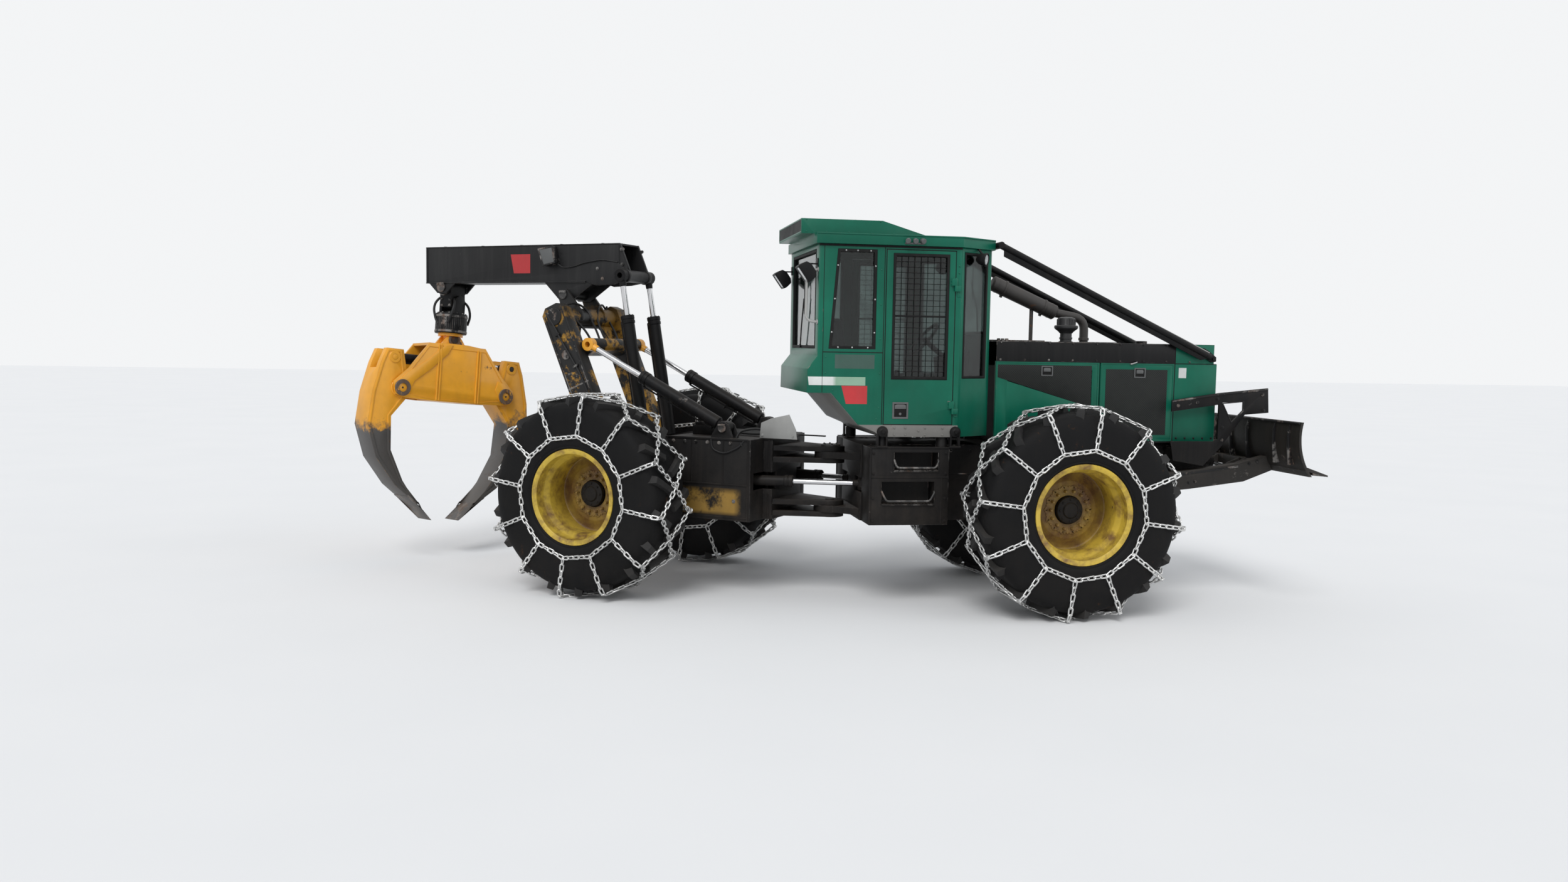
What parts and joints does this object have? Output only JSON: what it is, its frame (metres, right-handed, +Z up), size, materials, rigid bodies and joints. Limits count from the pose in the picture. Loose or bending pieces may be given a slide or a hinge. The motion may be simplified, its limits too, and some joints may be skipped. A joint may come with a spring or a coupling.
{
  "type": "grapple skidder",
  "caption": "Articulated four-wheel forestry skidder with cab, hood, front blade, leaning arch, boom, rotating log grapple and ladder chains on the tyres.",
  "frame": {"origin": "middle of the whole machine as it stands, on the ground", "axes": "+X forward along the front frame, +Y to its left, +Z up; the rear frame is turned 34.6 degrees at the pivot, its tail to the left"},
  "size_m": [8.9302, 4.4761, 3.44],
  "materials": {
    "hood_paint": "gloss green paint, dusty",
    "cab_paint": "gloss green paint, worn",
    "sill_paint": "grey satin paint, dirty",
    "black_paint": "satin black paint, dirty and scratched",
    "rim_paint": "yellow paint with rust and dirt",
    "grapple_paint": "orange yellow paint, worn at the tips",
    "rod_chrome": "hard chrome",
    "chain_steel": "bare worn steel",
    "tyre_rubber": "dirty black rubber",
    "window_glass": "clear tinted glass",
    "seat_fabric": "black cloth",
    "dash_plastic": "matte black",
    "cleaner_plastic": "matte black",
    "exhaust_metal": "heat-stained steel",
    "engine_iron": "oily cast iron"
  },
  "bodies": {
    "front_frame": {"front_frame": "black_paint", "front_axle": "black_paint", "engine": "engine_iron", "hood": "hood_paint", "hood_panels": "hood_paint", "radiator_box": "hood_paint", "limb_risers": "black_paint", "side_box_right": "black_paint", "side_box_left": "black_paint", "exhaust": "exhaust_metal", "precleaner": "cleaner_plastic", "cab_floor": "sill_paint", "cab_side_right": "cab_paint", "cab_side_left": "cab_paint", "cab_front": "cab_paint", "cab_rear": "cab_paint", "cab_roof": "cab_paint", "cab_glass": "window_glass", "seat": "seat_fabric", "dash_console": "dash_plastic", "work_lights": "black_paint"},
    "door_right": {"door_right": "cab_paint", "door_glass_right": "window_glass"},
    "door_left": {"door_left": "cab_paint", "door_glass_left": "window_glass"},
    "wheel_front_right": {"rim_front_right": "rim_paint", "tyre_front_right": "tyre_rubber", "chain_front_right": "chain_steel"},
    "wheel_front_left": {"rim_front_left": "rim_paint", "tyre_front_left": "tyre_rubber", "chain_front_left": "chain_steel"},
    "wheel_rear_right": {"rim_rear_right": "rim_paint", "tyre_rear_right": "tyre_rubber", "chain_rear_right": "chain_steel"},
    "wheel_rear_left": {"rim_rear_left": "rim_paint", "tyre_rear_left": "tyre_rubber", "chain_rear_left": "chain_steel"},
    "blade": {"blade": "black_paint"},
    "blade_barrels": {"blade_barrels": "black_paint"},
    "blade_rods": {"blade_rods": "rod_chrome"},
    "steer_barrel_right": {"steer_barrel_right": "black_paint"},
    "steer_barrel_left": {"steer_barrel_left": "black_paint"},
    "steer_rod_right": {"steer_rod_right": "rod_chrome"},
    "steer_rod_left": {"steer_rod_left": "rod_chrome"},
    "rear_frame": {"rear_frame": "black_paint", "rear_axle": "black_paint"},
    "arch": {"arch": "black_paint"},
    "arch_barrels": {"arch_barrels": "black_paint"},
    "arch_rods": {"arch_rods": "rod_chrome"},
    "boom": {"boom": "black_paint"},
    "boom_barrels": {"boom_barrels": "black_paint"},
    "boom_rods": {"boom_rods": "rod_chrome"},
    "grapple_hanger": {"grapple_hanger": "black_paint"},
    "grapple_rotator": {"grapple_rotator": "black_paint"},
    "grapple_head": {"grapple_head": "grapple_paint"},
    "tong_right": {"tong_right": "grapple_paint"},
    "tong_left": {"tong_left": "grapple_paint"},
    "grapple_barrel": {"grapple_barrel": "black_paint"},
    "grapple_rod": {"grapple_rod": "rod_chrome"}
  },
  "joints": [
    {"name": "wheel_front_right_roll", "type": "hinge", "parent": "front_frame", "child": "wheel_front_right", "pos_m": [2.065, -1.91, 0.93362], "axis": [0, 1, 0], "continuous": true},
    {"name": "wheel_rear_right_roll", "type": "hinge", "parent": "rear_frame", "child": "wheel_rear_right", "pos_m": [-2.08083, -0.6156, 0.93362], "axis": [0.5678, 0.8231, 0], "continuous": true},
    {"name": "wheel_front_left_roll", "type": "hinge", "parent": "front_frame", "child": "wheel_front_left", "pos_m": [2.065, 0.27, 0.93362], "axis": [0, 1, 0], "continuous": true},
    {"name": "wheel_rear_left_roll", "type": "hinge", "parent": "rear_frame", "child": "wheel_rear_left", "pos_m": [-0.84293, 1.17884, 0.93362], "axis": [0.5678, 0.8231, 0], "continuous": true},
    {"name": "door_right_hinge", "type": "hinge", "parent": "front_frame", "child": "door_right", "pos_m": [1.081, -1.534, 2.4], "axis": [0, 0, 1], "range_deg": [0, 95]},
    {"name": "door_left_hinge", "type": "hinge", "parent": "front_frame", "child": "door_left", "pos_m": [1.081, -0.106, 2.4], "axis": [0, 0, -1], "range_deg": [0, 95]},
    {"name": "blade_lift", "type": "hinge", "parent": "front_frame", "child": "blade", "pos_m": [2.775, -0.82, 1.09], "axis": [0, -1, 0], "range_deg": [-42, 1]},
    {"name": "blade_swing", "type": "hinge", "parent": "front_frame", "child": "blade_barrels", "pos_m": [3.085, -0.82, 1.47], "axis": [0, -1, 0], "range_deg": [-43.95, 1.1]},
    {"name": "blade_stroke", "type": "slide", "parent": "blade_barrels", "child": "blade_rods", "axis": [0.9662, 0, -0.258], "range_m": [-0.00932, 0.35025]},
    {"name": "articulation", "type": "hinge", "parent": "front_frame", "child": "rear_frame", "pos_m": [0.135, -0.82, 1.08], "axis": [0, 0, 1], "range_deg": [-10.4, 79.6]},
    {"name": "steer_right_swing", "type": "hinge", "parent": "rear_frame", "child": "steer_barrel_right", "pos_m": [-0.81707, -0.6856, 1.08], "axis": [0, 0, 1], "range_deg": [-14.53, 1.95]},
    {"name": "steer_right_stroke", "type": "slide", "parent": "steer_barrel_right", "child": "steer_rod_right", "axis": [0.9577, -0.2879, 0], "range_m": [-0.35788, 0.04763]},
    {"name": "steer_left_swing", "type": "hinge", "parent": "rear_frame", "child": "steer_barrel_left", "pos_m": [-0.32872, 0.02229, 1.08], "axis": [0, 0, 1], "range_deg": [-13.75, 1.85]},
    {"name": "steer_left_stroke", "type": "slide", "parent": "steer_barrel_left", "child": "steer_rod_left", "axis": [0.7634, -0.6459, 0], "range_m": [-0.04941, 0.37149]},
    {"name": "arch_tilt", "type": "hinge", "parent": "rear_frame", "child": "arch", "pos_m": [-1.64297, 0.40654, 1.26], "axis": [-0.5678, -0.8231, 0], "range_deg": [-10, 30]},
    {"name": "arch_swing", "type": "hinge", "parent": "rear_frame", "child": "arch_barrels", "pos_m": [-0.58113, -0.32598, 1.56], "axis": [-0.5678, -0.8231, 0], "range_deg": [-4.15, 12.33]},
    {"name": "arch_stroke", "type": "slide", "parent": "arch_barrels", "child": "arch_rods", "axis": [-0.7382, 0.5092, 0.4424], "range_m": [-0.13407, 0.4002]},
    {"name": "boom_lift", "type": "hinge", "parent": "arch", "child": "boom", "pos_m": [-2.21917, 0.80403, 2.8], "axis": [0.5678, 0.8231, 0], "range_deg": [-45, 10]},
    {"name": "boom_swing", "type": "hinge", "parent": "arch", "child": "boom_barrels", "pos_m": [-1.39603, 0.23619, 1.325], "axis": [-0.5678, -0.8231, 0], "range_deg": [-1.35, 5.86]},
    {"name": "boom_stroke", "type": "slide", "parent": "boom_barrels", "child": "boom_rods", "axis": [-0.1417, 0.0977, 0.9851], "range_m": [-0.11852, 0.52986]},
    {"name": "hanger_swing", "type": "hinge", "parent": "boom", "child": "grapple_hanger", "pos_m": [-3.52796, 1.7069, 2.885], "axis": [-0.5678, -0.8231, 0], "range_deg": [-45, 25]},
    {"name": "grapple_roll", "type": "hinge", "parent": "grapple_hanger", "child": "grapple_rotator", "pos_m": [-3.52796, 1.7069, 2.72], "axis": [0.8231, -0.5678, 0], "range_deg": [-19, 31]},
    {"name": "grapple_rotate", "type": "hinge", "parent": "grapple_rotator", "child": "grapple_head", "pos_m": [-3.54754, 1.67851, 2.39181], "axis": [0.0594, 0.086, 0.9945], "continuous": true},
    {"name": "tongs_open", "type": "hinge", "parent": "grapple_head", "child": "tong_right", "pos_m": [-4.08412, 1.29653, 1.82341], "axis": [-0.5516, 0.8332, -0.0392], "range_deg": [-6, 45]},
    {"name": "tong_left_open", "type": "hinge", "parent": "grapple_head", "child": "tong_left", "pos_m": [-3.08576, 1.95209, 1.70711], "axis": [-0.5516, 0.8332, -0.0392], "range_deg": [-45, 6]},
    {"name": "ram_swing", "type": "hinge", "parent": "tong_right", "child": "grapple_barrel", "pos_m": [-4.13227, 1.27949, 2.13946], "axis": [-0.5516, 0.8332, -0.0392], "range_deg": [-45, 6]},
    {"name": "ram_stroke", "type": "slide", "parent": "grapple_barrel", "child": "grapple_rod", "axis": [0.832, 0.5463, -0.0969], "range_m": [-0.49112, 0.06635]}
  ],
  "couplings": [
    {"joint": "blade_swing", "follows": "blade_lift", "ratio": 1.0451},
    {"joint": "blade_stroke", "follows": "blade_lift", "m_per_rad": -0.47645},
    {"joint": "steer_right_swing", "follows": "articulation", "ratio": -0.18187},
    {"joint": "steer_right_stroke", "follows": "articulation", "m_per_rad": -0.25688},
    {"joint": "steer_left_swing", "follows": "articulation", "ratio": -0.172},
    {"joint": "steer_left_stroke", "follows": "articulation", "m_per_rad": 0.26668},
    {"joint": "arch_swing", "follows": "arch_tilt", "ratio": 0.40904},
    {"joint": "arch_stroke", "follows": "arch_tilt", "m_per_rad": 0.76242},
    {"joint": "boom_swing", "follows": "boom_lift", "ratio": -0.12901},
    {"joint": "boom_stroke", "follows": "boom_lift", "m_per_rad": -0.67337},
    {"joint": "tong_left_open", "follows": "tongs_open", "ratio": -1},
    {"joint": "ram_swing", "follows": "tongs_open", "ratio": -1},
    {"joint": "ram_stroke", "follows": "tongs_open", "m_per_rad": -0.62403}
  ]
}
